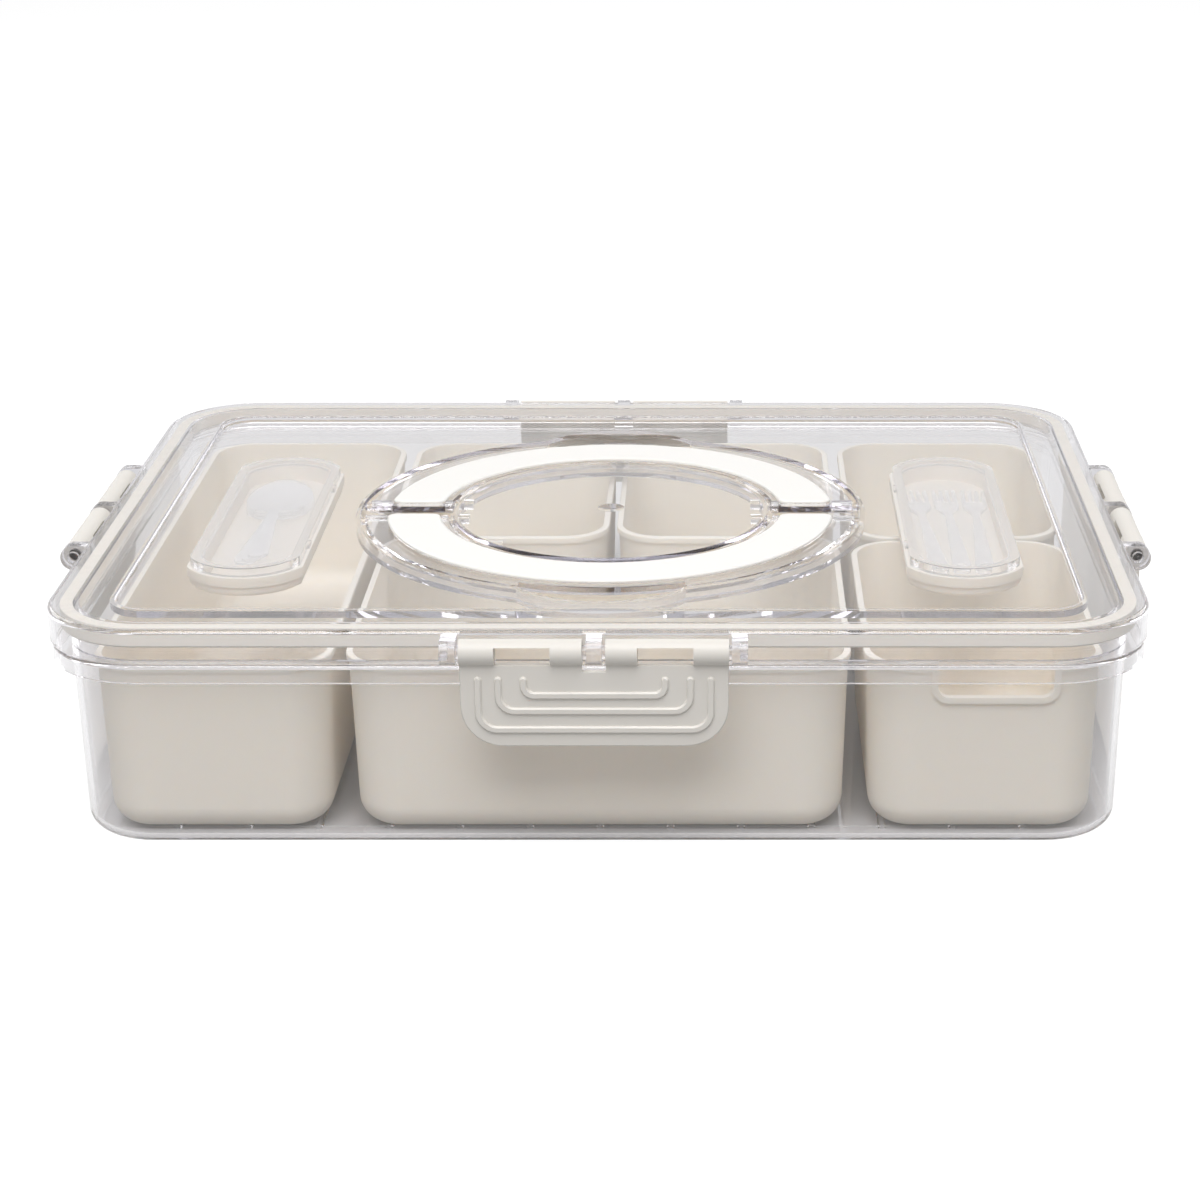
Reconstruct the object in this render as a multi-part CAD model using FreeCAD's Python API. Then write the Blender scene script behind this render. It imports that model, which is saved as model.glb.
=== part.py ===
"""Divided grazing box: clear tub and lid, inner boxes, four latches and a two-part carrying ring.

Millimetres, +Z up, the front latch faces -Y, and the origin is at the middle of the underside.
"""

import FreeCAD, Part
import math
import os

from FreeCAD import Vector as V

# Overall sizes of the closed box, without the latches
LID_LENGTH = 386.0
LID_WIDTH = 290.0
HEIGHT = 83.8
LID_CORNER = 36.0

# Lid plate, skirt and sunk panel
SKIRT_DEPTH = 12.4
SKIRT_ROUND = 0.6
LID_WALL = 2.0
LID_EDGE_ROUND = 2.0
BORDER = 23.5
BORDER_EDGE_ROUND = 0.9
PANEL_DROP = 2.5
PANEL_THICKNESS = 2.0
DIMPLE_WIDTH = 10.5
DIMPLE_DEPTH = 0.8
POCKET_DEPTH = 1.2

# Ring-shaped well in the panel, with a thumb scoop in front and behind
WELL_INNER = 61.0
WELL_OUTER = 97.0
WELL_DEPTH = 5.5
WELL_WALL = 1.6
SCOOP_HALF = 30.0
SCOOP_REACH = 108.0

# Gasket under the lid's border, and the rib that holds it from inside
GASKET_WIDTH = 4.4
GASKET_HEIGHT = 5.6
GASKET_INSET = 4.4
GASKET_CHAMFER = 0.8
GASKET_RIB = 1.8
GASKET_RIB_GAP = 0.1
SEAL_GAP = 0.3

# Tub
TUB_WALL = 2.0
TUB_FLOOR = 2.2
FLANGE_INSET = 0.9
FLANGE_DEPTH = 6.7
FLANGE_PLATE = 2.0
FLANGE_ROUND = 1.2
SKIRT_GAP = 0.5
WALL_INSET_TOP = 7.3
WALL_INSET_BOTTOM = 9.0
TUB_BASE_ROUND = 6.0
FOOT_INSET = 14.0
FOOT_RECESS = 0.6
FLOOR_RIB_WIDTH = 2.7
FLOOR_RIB_HEIGHT = 0.5
FLOOR_RIB_PITCH = 25.0
FLOOR_RIB_MARGIN = 24.0
FLOOR_RIB_END = 1.0

# Inner boxes
BOX_RIM_DROP = 16.8
BOX_ROW_INSET = 16.6
BOX_ROW_INSET_SIDE = 12.0
BOX_WALL = 1.5
BOX_DRAFT = 1.6
BOX_CORNER = 17.0
BOX_BASE_ROUND = 9.5
BOX_LIP = 0.8
BOX_LIP_DEPTH = 2.4
BOX_LIP_ROUND = 0.6
BOX_GAP = 4.4
BOX_ROW_GAP = 3.0
SIDE_BOX_LENGTH = 83.6
NOTCH_SHARE = 0.48
NOTCH_SHIFT = 3.5
NOTCH_DEPTH = 12.0
NOTCH_ROUND = 4.0
NOTCH_LIP = 2.2

# Latches
LATCH_WIDTH = 91.2
LATCH_DROP = 33.9
LATCH_CORNER = 14.5
LATCH_THICKNESS = 2.2
LATCH_EDGE_ROUND = 0.6
BARREL_RADIUS = 4.5
BARREL_GAP = 8.0
BARREL_GAP_DROP = 2.3
LATCH_OFFSET = 5.0
LATCH_BELOW_TOP = 5.6
LATCH_FACE_IN = 2.9
WINDOW_WIDTH = 19.0
WINDOW_PLACE = 24.2
WINDOW_RISE = 2.7
RIB_WIDTH = 2.5
RIB_PROUD = 0.9
RIB_CHAMFER = 0.5
RIB_TOP_DROP = 9.6
RIB_HALVES = (39.5, 32.6, 24.0)
RIB_DROPS = (27.6, 20.8, 15.1)
RIB_ROUNDS = (6.5, 5.5, 3.6)
CATCH_HALF = 36.0
CATCH_HEIGHT = 2.6
CATCH_TIP_SHARE = 0.4
CATCH_HOOK = 1.3
CATCH_CLEAR = 0.45
SNAP_ANGLE = 7.0

# Lugs and pins that carry the latches
LUG_WIDTH = 5.4
LUG_RADIUS = 4.7
LUG_GAP = 1.0
PIN_RADIUS = 2.3
PIN_LENGTH = 9.0
PIN_CLEAR = 0.06
PIN_END_GAP = 0.6
CORE_RADIUS = 2.1
CORE_DEPTH = 2.6

# Carrying ring, in two halves that fold up about their own pins
RING_CLEAR_SIDE = 2.0
RING_THICKNESS = 3.8
RING_CHAMFER = 0.8
RING_END_CHAMFER = 1.0
RING_END = 6.8
RING_AXIS_Y = 9.2
RING_FLOOR_GAP = 1.0
RING_PIN_RADIUS = 1.5
RING_PIN_REACH = 2.4
RING_OUTER_PIN_REACH = 8.0
RING_KNUCKLE_RADIUS = 2.5
RING_KNUCKLE_LENGTH = 6.0
RING_KNUCKLE_SINK = 0.3
THUMB_CUT_HALF = 30.0
THUMB_CUT_MARGIN = 2.5
GRIP_INNER = 66.0
GRIP_OUTER = 86.5
GRIP_SEAT = 1.3
GRIP_HEIGHT = 2.4
GRIP_END = 7.7
GRIP_CORNER = 3.5
GRIP_ROUND = 1.0

# Cutlery cases under the panel
CASE_PLACE = 133.2
CASE_LENGTH = 141.0
CASE_WIDTH = 40.6
CASE_SAGITTA = 14.0
COVER_GAP = 0.08
COVER_PLATE = 1.2
COVER_WALL = 3.4
COVER_DEPTH = 3.6
TRAY_PROUD = 1.2
TRAY_STEP = 0.7
TRAY_ROUND = 1.6
TRAY_FLOOR = 1.2
TRAY_GAP_BELOW = 1.2
SNAP_LENGTH = 5.0
SNAP_WIDTH = 0.8

# Forks and spoons
CUTLERY_COUNT = 3
CUTLERY_LENGTH = 96.0
CUTLERY_GAP = 0.1
FORK_THICKNESS = 1.3
FORK_FAN = 2.0
FORK_SIDE_GAP = 0.3
FORK_HEAD_SHARE = 0.28
FORK_HEAD_LENGTH = 30.0
FORK_TINES = 4
FORK_TINE_LENGTH = 15.0
FORK_NECK = 2.6
FORK_END = 7.0
FORK_HOLE = 1.8
SPOON_THICKNESS = 0.9
SPOON_STEP = 1.35
SPOON_FAN = 2.0
SPOON_BOWL_LENGTH = 42.0
SPOON_BOWL_WIDTH = 26.0
SPOON_BOWL_DEPTH = 2.4
SPOON_NECK = 4.0
SPOON_OVERLAP = 1.5
SPOON_END = 8.0

# Heights and places that follow from the sizes above
SKIRT_Z = HEIGHT - SKIRT_DEPTH
BORDER_UNDER_Z = HEIGHT - LID_WALL
PANEL_Z = HEIGHT - PANEL_DROP
PANEL_UNDER_Z = PANEL_Z - PANEL_THICKNESS
WELL_Z = PANEL_Z - WELL_DEPTH
GASKET_Z = BORDER_UNDER_Z - GASKET_HEIGHT
TUB_TOP_Z = GASKET_Z - SEAL_GAP
FLANGE_Z = SKIRT_Z - SKIRT_GAP
FLANGE_UNDER_Z = FLANGE_Z - FLANGE_DEPTH
BOX_RIM_Z = HEIGHT - BOX_RIM_DROP
BOX_BASE_Z = TUB_FLOOR + FLOOR_RIB_HEIGHT
BOX_ROW_LENGTH = LID_LENGTH - 2 * BOX_ROW_INSET
BOX_ROW_WIDTH = LID_WIDTH - 2 * BOX_ROW_INSET_SIDE
CENTRE_BOX_LENGTH = BOX_ROW_LENGTH - 2 * (SIDE_BOX_LENGTH + BOX_GAP)
LATCH_Z = HEIGHT - LATCH_BELOW_TOP
BARREL_LENGTH = (LATCH_WIDTH - BARREL_GAP) / 2
SIDE_LUG_PLACE = LATCH_WIDTH / 2 + LUG_GAP + LUG_WIDTH / 2
RING_INNER = WELL_INNER + RING_CLEAR_SIDE
RING_OUTER = WELL_OUTER - RING_CLEAR_SIDE
RING_Z = WELL_Z + RING_FLOOR_GAP
RING_TOP_Z = RING_Z + RING_THICKNESS
RING_AXIS_Z = RING_Z + RING_THICKNESS / 2
COVER_TOP_Z = PANEL_UNDER_Z - COVER_GAP
COVER_UNDER_Z = COVER_TOP_Z - COVER_DEPTH
TRAY_Z = BOX_RIM_Z + TRAY_GAP_BELOW
TRAY_INSIDE_Z = TRAY_Z + TRAY_FLOOR
CASE_INSIDE = CASE_WIDTH - 2 * COVER_WALL
FORK_HEAD = CASE_INSIDE * FORK_HEAD_SHARE
FORK_SPREAD = CUTLERY_LENGTH / 2 * math.sin(math.radians(FORK_FAN))
FORK_PITCH = (CASE_INSIDE - FORK_HEAD) / (CUTLERY_COUNT - 1) - FORK_SPREAD - FORK_SIDE_GAP


SMALL = 1e-3


def rounded_wire(length, width, radius, z, centre=(0.0, 0.0)):
    """A rounded rectangle as a closed wire at height z."""
    x, y = length / 2, width / 2
    r = radius
    diagonal = r * (1 - math.sqrt(0.5))
    edges = []
    for sx, sy, turn in ((1, 1, 1), (-1, 1, -1), (-1, -1, 1), (1, -1, -1)):
        before = V(sx * x, sy * (y - r), z)
        after = V(sx * (x - r), sy * y, z)
        middle = V(sx * (x - diagonal), sy * (y - diagonal), z)
        start, end = (before, after) if turn > 0 else (after, before)
        edges.append(Part.Arc(start, middle, end).toShape())
    closed = []
    for index, arc in enumerate(edges):
        following = edges[(index + 1) % 4]
        gap = (arc.Vertexes[-1].Point, following.Vertexes[0].Point)
        closed.append(arc)
        if gap[0].distanceToPoint(gap[1]) > SMALL:
            closed.append(Part.makeLine(*gap))
    wire = Part.Wire(closed)
    wire.translate(V(centre[0], centre[1], 0))
    return wire


def rounded_block(length, width, radius, z0, z1, centre=(0.0, 0.0)):
    """An upright block with round corners, from z0 to z1."""
    face = Part.Face(rounded_wire(length, width, radius, z0, centre))
    return face.extrude(V(0, 0, z1 - z0))


def edges_at(shape, z, reach=None):
    """The edges that lie wholly at height z and, if asked, within reach of the middle along X and Y."""
    found = []
    for edge in shape.Edges:
        box = edge.BoundBox
        level = abs(box.ZMin - z) < SMALL and abs(box.ZMax - z) < SMALL
        near = reach is None or (box.XMax < reach[0] + SMALL and box.YMax < reach[1] + SMALL)
        if level and near:
            found.append(edge)
    return found


def polygon_prism(points, depth):
    """A prism on a closed list of points, pushed along the vector depth."""
    return Part.Face(Part.makePolygon(points + points[:1])).extrude(depth)


def rod(start, direction, radius, length):
    """A round bar from start, length along direction."""
    return Part.makeCylinder(radius, length, start, direction)


def drafted_block(top, inset, radius, z0, z1, centre=(0.0, 0.0)):
    """A block that narrows by inset on each side from its top (length, width) to its base.

    The sides are flat and each corner is a quarter cone, so every edge of the base is a line or an arc.
    """
    x, y = top[0] / 2, top[1] / 2
    cx, cy = x - radius, y - radius
    end_view = [V(-x + inset, -cy, z0), V(x - inset, -cy, z0), V(x, -cy, z1), V(-x, -cy, z1)]
    side_view = [V(-cx, -y + inset, z0), V(-cx, y - inset, z0), V(-cx, y, z1), V(-cx, -y, z1)]
    block = polygon_prism(end_view, V(0, 2 * cy, 0))
    rest = [polygon_prism(side_view, V(2 * cx, 0, 0))]
    for sx in (-1, 1):
        for sy in (-1, 1):
            rest.append(Part.makeCone(radius - inset, radius, z1 - z0, V(sx * cx, sy * cy, z0)))
    block = block.multiFuse(rest).removeSplitter()
    block.translate(V(centre[0], centre[1], 0))
    return block


def place_on_side(shape, side):
    """Move a latch or lug, built about its own axis, to its side of the lid."""
    reach = (LID_LENGTH if side in ("left", "right") else LID_WIDTH) / 2 + LATCH_OFFSET
    turn = {"front": 0, "right": 90, "back": 180, "left": -90}[side]
    placed = shape.copy()
    placed.translate(V(0, -reach, LATCH_Z))
    placed.rotate(V(0, 0, 0), V(0, 0, 1), turn)
    return placed


SIDES = ("front", "back", "left", "right")


# Tub


def floor_rib(x, half):
    """One low round-topped rib on the tub floor, running from front to back with round ends."""
    radius = ((FLOOR_RIB_WIDTH / 2) ** 2 + FLOOR_RIB_HEIGHT**2) / (2 * FLOOR_RIB_HEIGHT)
    z = TUB_FLOOR + FLOOR_RIB_HEIGHT - radius
    bar = rod(V(x, -half, z), V(0, 1, 0), radius, 2 * half)
    end = FLOOR_RIB_WIDTH / 2
    plan = rounded_block(FLOOR_RIB_WIDTH, 2 * half, end, TUB_FLOOR / 2, TUB_FLOOR + radius, (x, 0))
    return bar.common(plan)


def make_tub():
    """Clear tub with a drafted wall, a turned-down flange and floor ribs."""
    top_l = LID_LENGTH - 2 * WALL_INSET_TOP
    top_w = LID_WIDTH - 2 * WALL_INSET_TOP
    base_l = LID_LENGTH - 2 * WALL_INSET_BOTTOM
    base_w = LID_WIDTH - 2 * WALL_INSET_BOTTOM
    corner = LID_CORNER - WALL_INSET_TOP
    wall = 2 * TUB_WALL
    inset = WALL_INSET_BOTTOM - WALL_INSET_TOP
    outer = drafted_block((top_l, top_w), inset, corner, 0, TUB_TOP_Z)
    outer = outer.makeFillet(TUB_BASE_ROUND, edges_at(outer, 0))
    cavity_top = (top_l - wall, top_w - wall)
    cavity_inset = inset * (TUB_TOP_Z - TUB_FLOOR) / TUB_TOP_Z
    cavity = drafted_block(cavity_top, cavity_inset, corner - TUB_WALL, TUB_FLOOR, TUB_TOP_Z)
    cavity = cavity.makeFillet(TUB_BASE_ROUND - TUB_WALL, edges_at(cavity, TUB_FLOOR))
    flange_l = LID_LENGTH - 2 * FLANGE_INSET
    flange_w = LID_WIDTH - 2 * FLANGE_INSET
    flange_r = LID_CORNER - FLANGE_INSET
    flange = rounded_block(flange_l, flange_w, flange_r, FLANGE_UNDER_Z, FLANGE_Z)
    hollow_l = flange_l - 2 * FLANGE_PLATE
    hollow_w = flange_w - 2 * FLANGE_PLATE
    hollow_r = flange_r - FLANGE_PLATE
    hollow = rounded_block(hollow_l, hollow_w, hollow_r, FLANGE_UNDER_Z, FLANGE_Z - FLANGE_PLATE)
    flange = flange.cut(hollow)
    flange = flange.makeFillet(FLANGE_ROUND, edges_at(flange, FLANGE_Z))
    foot_l = base_l - 2 * FOOT_INSET
    foot_w = base_w - 2 * FOOT_INSET
    foot = rounded_block(foot_l, foot_w, corner - FOOT_INSET, 0, FOOT_RECESS)
    tub = outer.fuse(flange).cut(cavity).cut(foot)
    rib_half = base_w / 2 - TUB_BASE_ROUND - TUB_WALL - FLOOR_RIB_END
    count = int((base_l / 2 - FLOOR_RIB_MARGIN) // FLOOR_RIB_PITCH)
    ribs = [floor_rib(i * FLOOR_RIB_PITCH, rib_half) for i in range(-count, count + 1)]
    return tub.multiFuse(ribs)


# Lid


def scoop(reach, half):
    """Upright segment past the well's edge for a thumb, drawn in front; half is at the well's edge."""
    y = -math.sqrt(WELL_OUTER**2 - half**2)
    arc = Part.Arc(V(-half, y, WELL_Z), V(0, -reach, WELL_Z), V(half, y, WELL_Z)).toShape()
    chord = Part.makeLine(arc.Vertexes[-1].Point, arc.Vertexes[0].Point)
    return Part.Face(Part.Wire([arc, chord]))


def well_plan(inner, outer, grow, z0, z1):
    """Ring with both thumb scoops, from z0 to z1."""
    disc = Part.makeCylinder(outer, z1 - z0, V(0, 0, z0))
    front = scoop(SCOOP_REACH + grow, SCOOP_HALF + grow).extrude(V(0, 0, z1 - z0))
    front.translate(V(0, 0, z0 - WELL_Z))
    back = front.copy()
    back.rotate(V(0, 0, 0), V(0, 0, 1), 180)
    plan = disc.multiFuse([front, back])
    if inner:
        plan = plan.cut(Part.makeCylinder(inner, z1 - z0, V(0, 0, z0)))
    return plan.removeSplitter()


def lug(place):
    """One clear lug on the latch axis, tied back to the skirt; place is along the edge."""
    low = V(place - LUG_WIDTH / 2, 0, 0)
    eye = rod(low, V(1, 0, 0), LUG_RADIUS, LUG_WIDTH)
    web = Part.makeBox(LUG_WIDTH, LATCH_OFFSET + LID_WALL / 2, 2 * LUG_RADIUS, low - V(0, 0, LUG_RADIUS))
    return eye.fuse(web)


def lug_group():
    """Three lugs with their pins, about the latch axis."""
    pieces = [lug(0.0)]
    tip = BARREL_GAP / 2 + PIN_LENGTH
    pieces.append(rod(V(-tip, 0, 0), V(1, 0, 0), PIN_RADIUS, 2 * tip))
    for sign in (-1, 1):
        side = lug(sign * SIDE_LUG_PLACE)
        inward = V(-sign, 0, 0)
        start = V(sign * SIDE_LUG_PLACE, 0, 0)
        length = SIDE_LUG_PLACE - LATCH_WIDTH / 2 + PIN_LENGTH
        side = side.fuse(rod(start, inward, PIN_RADIUS, length))
        face = V(sign * (SIDE_LUG_PLACE + LUG_WIDTH / 2), 0, 0)
        pieces.append(side.cut(rod(face, inward, CORE_RADIUS, CORE_DEPTH)))
    return pieces


def ring_posts():
    """Knuckles beside the island and pins on both walls of the well, for the ring's halves to turn on."""
    posts = []
    near_x = math.sqrt(WELL_INNER**2 - RING_AXIS_Y**2)
    far_x = math.sqrt(WELL_OUTER**2 - RING_AXIS_Y**2)
    for sx in (-1, 1):
        for sy in (-1, 1):
            start = V(sx * (near_x - RING_KNUCKLE_LENGTH), sy * RING_AXIS_Y, RING_AXIS_Z)
            outward = V(sx, 0, 0)
            knuckle_length = RING_KNUCKLE_LENGTH + RING_CLEAR_SIDE / 2
            pin_length = RING_KNUCKLE_LENGTH + RING_CLEAR_SIDE + RING_PIN_REACH
            posts.append(rod(start, outward, RING_KNUCKLE_RADIUS, knuckle_length))
            posts.append(rod(start, outward, RING_PIN_RADIUS, pin_length))
            far = V(sx * (far_x + WELL_WALL / 2), sy * RING_AXIS_Y, RING_AXIS_Z)
            far_length = RING_CLEAR_SIDE + RING_OUTER_PIN_REACH + WELL_WALL / 2
            posts.append(rod(far, -outward, RING_PIN_RADIUS, far_length))
    return posts


def ring_band(inset, width, z0, z1):
    """A band that follows the lid's outline, from one height to another; inset is to its outer side."""
    length = LID_LENGTH - 2 * inset
    depth = LID_WIDTH - 2 * inset
    radius = LID_CORNER - inset
    band = rounded_block(length, depth, radius, z0, z1)
    return band.cut(rounded_block(length - 2 * width, depth - 2 * width, radius - width, z0, z1))


def lid_plate():
    """Border with its skirt and gasket rib, and the sunk panel with round edges."""
    shell = rounded_block(LID_LENGTH, LID_WIDTH, LID_CORNER, SKIRT_Z, HEIGHT)
    shell = shell.makeFillet(LID_EDGE_ROUND, edges_at(shell, HEIGHT))
    shell = shell.makeFillet(SKIRT_ROUND, edges_at(shell, SKIRT_Z))
    wall = 2 * LID_WALL
    radius = LID_CORNER - LID_WALL
    inside = rounded_block(LID_LENGTH - wall, LID_WIDTH - wall, radius, SKIRT_Z, BORDER_UNDER_Z)
    panel_l = LID_LENGTH - 2 * BORDER
    panel_w = LID_WIDTH - 2 * BORDER
    panel_r = LID_CORNER - BORDER
    middle_z = (BORDER_UNDER_Z + HEIGHT) / 2
    step = rounded_block(panel_l + wall, panel_w + wall, panel_r + LID_WALL, PANEL_UNDER_Z, middle_z)
    sunk = rounded_block(panel_l, panel_w, panel_r, PANEL_Z, HEIGHT)
    rib_inset = GASKET_INSET + GASKET_WIDTH + GASKET_RIB_GAP
    rib = ring_band(rib_inset, GASKET_RIB, GASKET_Z, middle_z)
    plate = shell.cut(inside).multiFuse([step, rib]).cut(sunk)
    inner_edges = edges_at(plate, HEIGHT, (panel_l / 2, panel_w / 2))
    return plate.makeFillet(BORDER_EDGE_ROUND, inner_edges)


def well_trough():
    """Wall and floor of the ring's well, with what has to be cut out of it and of the panel."""
    low = WELL_Z - WELL_WALL
    trough = well_plan(0, WELL_OUTER + WELL_WALL, WELL_WALL, low, PANEL_Z)
    hollow = well_plan(WELL_INNER, WELL_OUTER, 0, WELL_Z, PANEL_Z)
    island_radius = WELL_INNER - WELL_WALL
    under_island = Part.makeCylinder(island_radius, PANEL_UNDER_Z - low, V(0, 0, low))
    return trough, hollow.fuse(under_island)


def rim_pocket(sign):
    """Recess in the lid's edge behind one half of a latch's barrel, about the latch axis."""
    middle = sign * (BARREL_GAP + BARREL_LENGTH) / 2
    corner = V(middle - BARREL_LENGTH / 2, LATCH_OFFSET - POCKET_DEPTH, SKIRT_Z - LATCH_Z)
    return Part.makeBox(BARREL_LENGTH, 2 * POCKET_DEPTH, SKIRT_DEPTH, corner)


def make_lid():
    """Clear lid: plate with a well for the ring, a gate dimple, rim pockets, lugs and pins."""
    trough, hollow = well_trough()
    dimple_radius = ((DIMPLE_WIDTH / 2) ** 2 + DIMPLE_DEPTH**2) / (2 * DIMPLE_DEPTH)
    dimple = Part.makeSphere(dimple_radius, V(0, 0, PANEL_Z - DIMPLE_DEPTH + dimple_radius))
    lid = lid_plate().fuse(trough).cut(hollow).cut(dimple)
    for side in SIDES:
        for sign in (-1, 1):
            lid = lid.cut(place_on_side(rim_pocket(sign), side))
    fittings = [place_on_side(piece, side) for side in SIDES for piece in lug_group()]
    return lid.multiFuse(fittings + ring_posts())


def make_gasket():
    """Cream ring that seals the tub's rim, with its lower edges taken off."""
    ring = ring_band(GASKET_INSET, GASKET_WIDTH, GASKET_Z, BORDER_UNDER_Z)
    return ring.makeChamfer(GASKET_CHAMFER, edges_at(ring, GASKET_Z))


# Latches


def rib_path(half, drop, radius):
    """Centre line of one raised U rib on the flap's face: down, across and up again."""
    top = -RIB_TOP_DROP
    low = -drop
    bend = radius * (1 - math.sqrt(0.5))
    points = [V(-half, 0, top), V(-half, 0, low + radius), V(-half + radius, 0, low)]
    points += [V(half - radius, 0, low), V(half, 0, low + radius), V(half, 0, top)]
    left = V(-half + bend, 0, low + bend)
    right = V(half - bend, 0, low + bend)
    return Part.Wire(
        [
            Part.makeLine(points[0], points[1]),
            Part.Arc(points[1], left, points[2]).toShape(),
            Part.makeLine(points[2], points[3]),
            Part.Arc(points[3], right, points[4]).toShape(),
            Part.makeLine(points[4], points[5]),
        ]
    )


def flap_rib(half, drop, radius, face):
    """A raised rib of constant width with round ends, standing on the flap's face."""
    w = RIB_WIDTH / 2
    top = -RIB_TOP_DROP
    outer = rib_path(half + w, drop + w, radius + w).Edges
    inner = rib_path(half - w, drop - w, radius - w).Edges
    right = Part.Arc(V(half + w, 0, top), V(half, 0, top + w), V(half - w, 0, top)).toShape()
    left = Part.Arc(V(-half - w, 0, top), V(-half, 0, top + w), V(-half + w, 0, top)).toShape()
    outline = Part.Wire(Part.__sortEdges__(outer + [right] + inner + [left]))
    rib = Part.Face(outline).extrude(V(0, -RIB_PROUD - LATCH_THICKNESS / 2, 0))
    rib.translate(V(0, face + LATCH_THICKNESS / 2, 0))
    return rib.makeChamfer(RIB_CHAMFER, edges_on_front(rib, face - RIB_PROUD))


def edges_on_front(shape, y):
    """The edges that lie wholly in the plane at y."""
    return [e for e in shape.Edges if abs(e.BoundBox.YMin - y) < SMALL and abs(e.BoundBox.YMax - y) < SMALL]


def flap_plate(face):
    """The flap: a plate from the barrel down, with large lower corners."""
    half = LATCH_WIDTH / 2
    r = LATCH_CORNER
    bend = r * (1 - math.sqrt(0.5))
    low = -LATCH_DROP
    corner_l = Part.Arc(V(-half, 0, low + r), V(-half + bend, 0, low + bend), V(-half + r, 0, low))
    corner_r = Part.Arc(V(half - r, 0, low), V(half - bend, 0, low + bend), V(half, 0, low + r))
    outline = Part.Wire(
        [
            Part.makeLine(V(-half, 0, 0), V(-half, 0, low + r)),
            corner_l.toShape(),
            Part.makeLine(V(-half + r, 0, low), V(half - r, 0, low)),
            corner_r.toShape(),
            Part.makeLine(V(half, 0, low + r), V(half, 0, 0)),
            Part.makeLine(V(half, 0, 0), V(-half, 0, 0)),
        ]
    )
    plate = Part.Face(outline).extrude(V(0, LATCH_THICKNESS, 0))
    plate.translate(V(0, face, 0))
    front = [e for e in edges_on_front(plate, face) if e.BoundBox.ZMin < -SMALL]
    return plate.makeFillet(LATCH_EDGE_ROUND, front)


def catch_points():
    """Profile of the catch, from the flap's back to its hook under the tub's flange."""
    back = LATCH_FACE_IN - BARREL_RADIUS + LATCH_THICKNESS
    flange_face = LATCH_OFFSET + FLANGE_INSET
    snap = math.radians(SNAP_ANGLE)
    under = FLANGE_UNDER_Z - LATCH_Z - CATCH_CLEAR
    hook = flange_face + CATCH_HOOK
    tip_y = hook * math.cos(snap) + under * math.sin(snap)
    tip_z = -hook * math.sin(snap) + under * math.cos(snap)
    root_z = -back * math.sin(snap) + under * math.cos(snap)
    return [
        V(0, back - LATCH_THICKNESS / 2, root_z),
        V(0, tip_y, tip_z),
        V(0, tip_y, tip_z - CATCH_HEIGHT * CATCH_TIP_SHARE),
        V(0, back - LATCH_THICKNESS / 2, root_z - CATCH_HEIGHT),
    ]


def make_latch():
    """One latch about its own axis, hanging straight down, just unhooked."""
    half = LATCH_WIDTH / 2
    face = LATCH_FACE_IN - BARREL_RADIUS
    latch = rod(V(-half, 0, 0), V(1, 0, 0), BARREL_RADIUS, LATCH_WIDTH)
    latch = latch.fuse(flap_plate(face))
    catch = polygon_prism(catch_points(), V(2 * CATCH_HALF, 0, 0))
    catch.translate(V(-CATCH_HALF, 0, 0))
    ribs = [flap_rib(*sizes, face) for sizes in zip(RIB_HALVES, RIB_DROPS, RIB_ROUNDS)]
    latch = latch.multiFuse([catch] + ribs)
    depth = 4 * BARREL_RADIUS
    gap_low = BARREL_RADIUS + BARREL_GAP_DROP
    gap_corner = V(-BARREL_GAP / 2, -depth / 2, -gap_low)
    latch = latch.cut(Part.makeBox(BARREL_GAP, depth, depth / 2 + gap_low, gap_corner))
    for sign in (-1, 1):
        window_corner = V(sign * WINDOW_PLACE - WINDOW_WIDTH / 2, -depth / 2, -BARREL_RADIUS)
        window = Part.makeBox(WINDOW_WIDTH, depth, BARREL_RADIUS + WINDOW_RISE, window_corner)
        bore = PIN_RADIUS + PIN_CLEAR
        length = PIN_LENGTH + PIN_END_GAP
        outer_bore = rod(V(sign * half, 0, 0), V(-sign, 0, 0), bore, length)
        inner_bore = rod(V(sign * BARREL_GAP / 2, 0, 0), V(sign, 0, 0), bore, length)
        latch = latch.cut(window).cut(outer_bore).cut(inner_bore)
    return latch


# Carrying ring


def half_ring_face(inner, outer, end, z):
    """Half a flat ring in front of the line y = -end, at height z."""
    xi = math.sqrt(inner**2 - end**2)
    xo = math.sqrt(outer**2 - end**2)
    big = Part.Arc(V(-xo, -end, z), V(0, -outer, z), V(xo, -end, z)).toShape()
    small = Part.Arc(V(-xi, -end, z), V(0, -inner, z), V(xi, -end, z)).toShape()
    left = Part.makeLine(V(-xo, -end, z), V(-xi, -end, z))
    right = Part.makeLine(V(xo, -end, z), V(xi, -end, z))
    return Part.Face(Part.Wire([big, right, small, left]))


def make_grip_block(z0, z1):
    """Plan of the grip inlay between two heights, with round corners at its ends."""
    block = half_ring_face(GRIP_INNER, GRIP_OUTER, GRIP_END, z0).extrude(V(0, 0, z1 - z0))
    corners = []
    for edge in block.Edges:
        box = edge.BoundBox
        if abs(box.ZLength - (z1 - z0)) < SMALL and box.XLength < SMALL and box.YLength < SMALL:
            corners.append(edge)
    return block.makeFillet(GRIP_CORNER, corners)


def thumb_cut():
    """What the thumb cut takes from the outer side of the front half ring."""
    corner = V(-THUMB_CUT_HALF, -RING_OUTER, RING_Z)
    block = Part.makeBox(2 * THUMB_CUT_HALF, RING_OUTER, RING_THICKNESS, corner)
    return block.cut(Part.makeCylinder(GRIP_OUTER + THUMB_CUT_MARGIN, RING_THICKNESS, V(0, 0, RING_Z)))


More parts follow.
